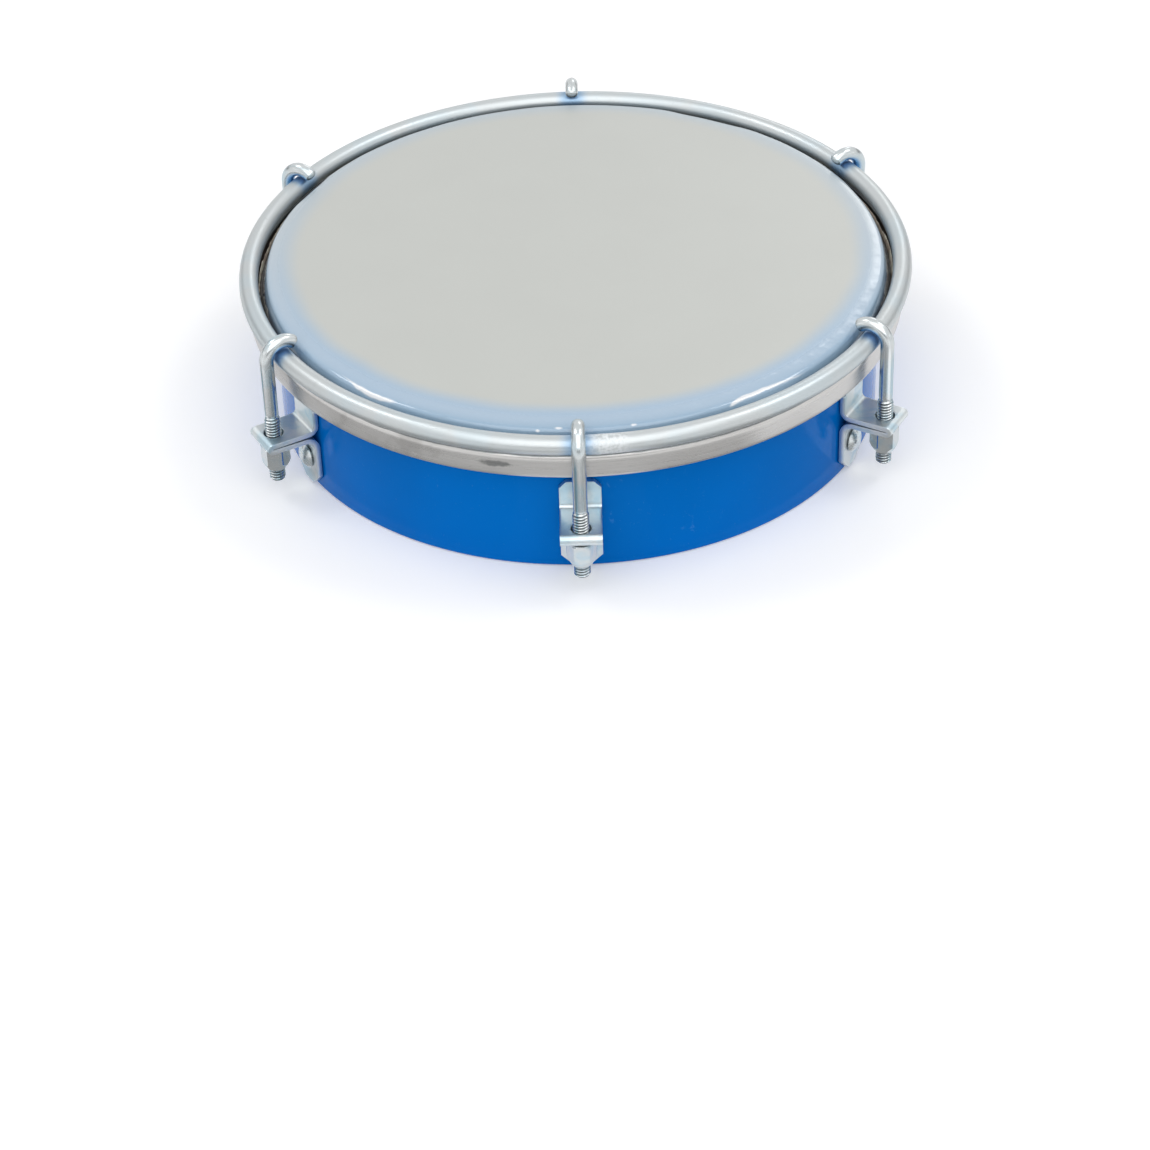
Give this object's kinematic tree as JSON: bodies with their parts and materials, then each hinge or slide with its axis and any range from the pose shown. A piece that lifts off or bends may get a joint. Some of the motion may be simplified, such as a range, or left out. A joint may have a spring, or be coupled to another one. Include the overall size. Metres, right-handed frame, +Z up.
{
  "type": "tamborim",
  "caption": "Small one-headed frame drum: glossy plastic shell, hooped film head, rod tension ring, hook bolts with nuts in folded lug brackets.",
  "frame": {"origin": "centre of the circle on which the shell's bottom rim rests", "axes": "+Z up along the drum's axis, towards the head; -Y towards lug 1, the lug nearest the viewer; lugs numbered anticlockwise seen from above"},
  "size_m": [0.1686, 0.1806, 0.0451],
  "materials": {
    "shell_blue": "saturated blue, glossy, faint handling scuffs",
    "head_film": "milky polyester film, satin",
    "hoop_aluminium": "plain rolled aluminium, soft sheen, small smudges",
    "resin_amber": "cast resin, tan, slightly uneven top",
    "ring_zinc": "bright zinc plating over steel rod",
    "bracket_zinc": "bright zinc plating over sheet steel",
    "rivet_zinc": "bright zinc plating, domed",
    "bolt_zinc": "bright zinc plating over steel rod",
    "nut_zinc": "bright zinc plating over steel"
  },
  "bodies": {
    "shell_and_lugs": {"shell": "shell_blue", "lug_bracket_1": "bracket_zinc", "lug_bracket_2": "bracket_zinc", "lug_bracket_3": "bracket_zinc", "lug_bracket_4": "bracket_zinc", "lug_bracket_5": "bracket_zinc", "lug_bracket_6": "bracket_zinc", "bracket_rivet_1": "rivet_zinc", "bracket_rivet_2": "rivet_zinc", "bracket_rivet_3": "rivet_zinc", "bracket_rivet_4": "rivet_zinc", "bracket_rivet_5": "rivet_zinc", "bracket_rivet_6": "rivet_zinc"},
    "ring": {"tension_ring": "ring_zinc"},
    "head": {"drumhead": "head_film", "head_resin": "resin_amber", "flesh_hoop": "hoop_aluminium"},
    "hook_1": {"hook_bolt_1": "bolt_zinc"},
    "hook_2": {"hook_bolt_2": "bolt_zinc"},
    "hook_3": {"hook_bolt_3": "bolt_zinc"},
    "hook_4": {"hook_bolt_4": "bolt_zinc"},
    "hook_5": {"hook_bolt_5": "bolt_zinc"},
    "hook_6": {"hook_bolt_6": "bolt_zinc"},
    "nut_1": {"tuning_nut_1": "nut_zinc"},
    "nut_2": {"tuning_nut_2": "nut_zinc"},
    "nut_3": {"tuning_nut_3": "nut_zinc"},
    "nut_4": {"tuning_nut_4": "nut_zinc"},
    "nut_5": {"tuning_nut_5": "nut_zinc"},
    "nut_6": {"tuning_nut_6": "nut_zinc"}
  },
  "joints": [
    {"name": "ring_lift", "type": "slide", "parent": "shell_and_lugs", "child": "ring", "axis": [0, 0, 1], "range_m": [0, 0.00317]},
    {"name": "head_lift", "type": "slide", "parent": "shell_and_lugs", "child": "head", "axis": [0, 0, 1], "range_m": [0, 0.00317]},
    {"name": "hook_1_lift", "type": "slide", "parent": "shell_and_lugs", "child": "hook_1", "axis": [0, 0, 1], "range_m": [0, 0.00317]},
    {"name": "hook_2_lift", "type": "slide", "parent": "shell_and_lugs", "child": "hook_2", "axis": [0, 0, 1], "range_m": [0, 0.00317]},
    {"name": "hook_3_lift", "type": "slide", "parent": "shell_and_lugs", "child": "hook_3", "axis": [0, 0, 1], "range_m": [0, 0.00317]},
    {"name": "hook_4_lift", "type": "slide", "parent": "shell_and_lugs", "child": "hook_4", "axis": [0, 0, 1], "range_m": [0, 0.00317]},
    {"name": "hook_5_lift", "type": "slide", "parent": "shell_and_lugs", "child": "hook_5", "axis": [0, 0, 1], "range_m": [0, 0.00317]},
    {"name": "hook_6_lift", "type": "slide", "parent": "shell_and_lugs", "child": "hook_6", "axis": [0, 0, 1], "range_m": [0, 0.00317]},
    {"name": "nut_1_turn", "type": "hinge", "parent": "shell_and_lugs", "child": "nut_1", "pos_m": [0, -0.08631, 0.0119], "axis": [0, 0, -1], "range_deg": [0, 1440]},
    {"name": "nut_2_turn", "type": "hinge", "parent": "shell_and_lugs", "child": "nut_2", "pos_m": [0.07474, -0.04315, 0.0119], "axis": [0, 0, -1], "range_deg": [0, 1440]},
    {"name": "nut_3_turn", "type": "hinge", "parent": "shell_and_lugs", "child": "nut_3", "pos_m": [0.07474, 0.04315, 0.0119], "axis": [0, 0, -1], "range_deg": [0, 1440]},
    {"name": "nut_4_turn", "type": "hinge", "parent": "shell_and_lugs", "child": "nut_4", "pos_m": [0, 0.08631, 0.0119], "axis": [0, 0, -1], "range_deg": [0, 1440]},
    {"name": "nut_5_turn", "type": "hinge", "parent": "shell_and_lugs", "child": "nut_5", "pos_m": [-0.07474, 0.04315, 0.0119], "axis": [0, 0, -1], "range_deg": [0, 1440]},
    {"name": "nut_6_turn", "type": "hinge", "parent": "shell_and_lugs", "child": "nut_6", "pos_m": [-0.07474, -0.04315, 0.0119], "axis": [0, 0, -1], "range_deg": [0, 1440]}
  ],
  "couplings": [
    {"joint": "head_lift", "follows": "ring_lift", "ratio": 1},
    {"joint": "hook_1_lift", "follows": "ring_lift", "ratio": 1},
    {"joint": "hook_2_lift", "follows": "ring_lift", "ratio": 1},
    {"joint": "hook_3_lift", "follows": "ring_lift", "ratio": 1},
    {"joint": "hook_4_lift", "follows": "ring_lift", "ratio": 1},
    {"joint": "hook_5_lift", "follows": "ring_lift", "ratio": 1},
    {"joint": "hook_6_lift", "follows": "ring_lift", "ratio": 1},
    {"joint": "nut_1_turn", "follows": "ring_lift", "rad_per_m": 7915.8},
    {"joint": "nut_2_turn", "follows": "ring_lift", "rad_per_m": 7915.8},
    {"joint": "nut_3_turn", "follows": "ring_lift", "rad_per_m": 7915.8},
    {"joint": "nut_4_turn", "follows": "ring_lift", "rad_per_m": 7915.8},
    {"joint": "nut_5_turn", "follows": "ring_lift", "rad_per_m": 7915.8},
    {"joint": "nut_6_turn", "follows": "ring_lift", "rad_per_m": 7915.8}
  ]
}
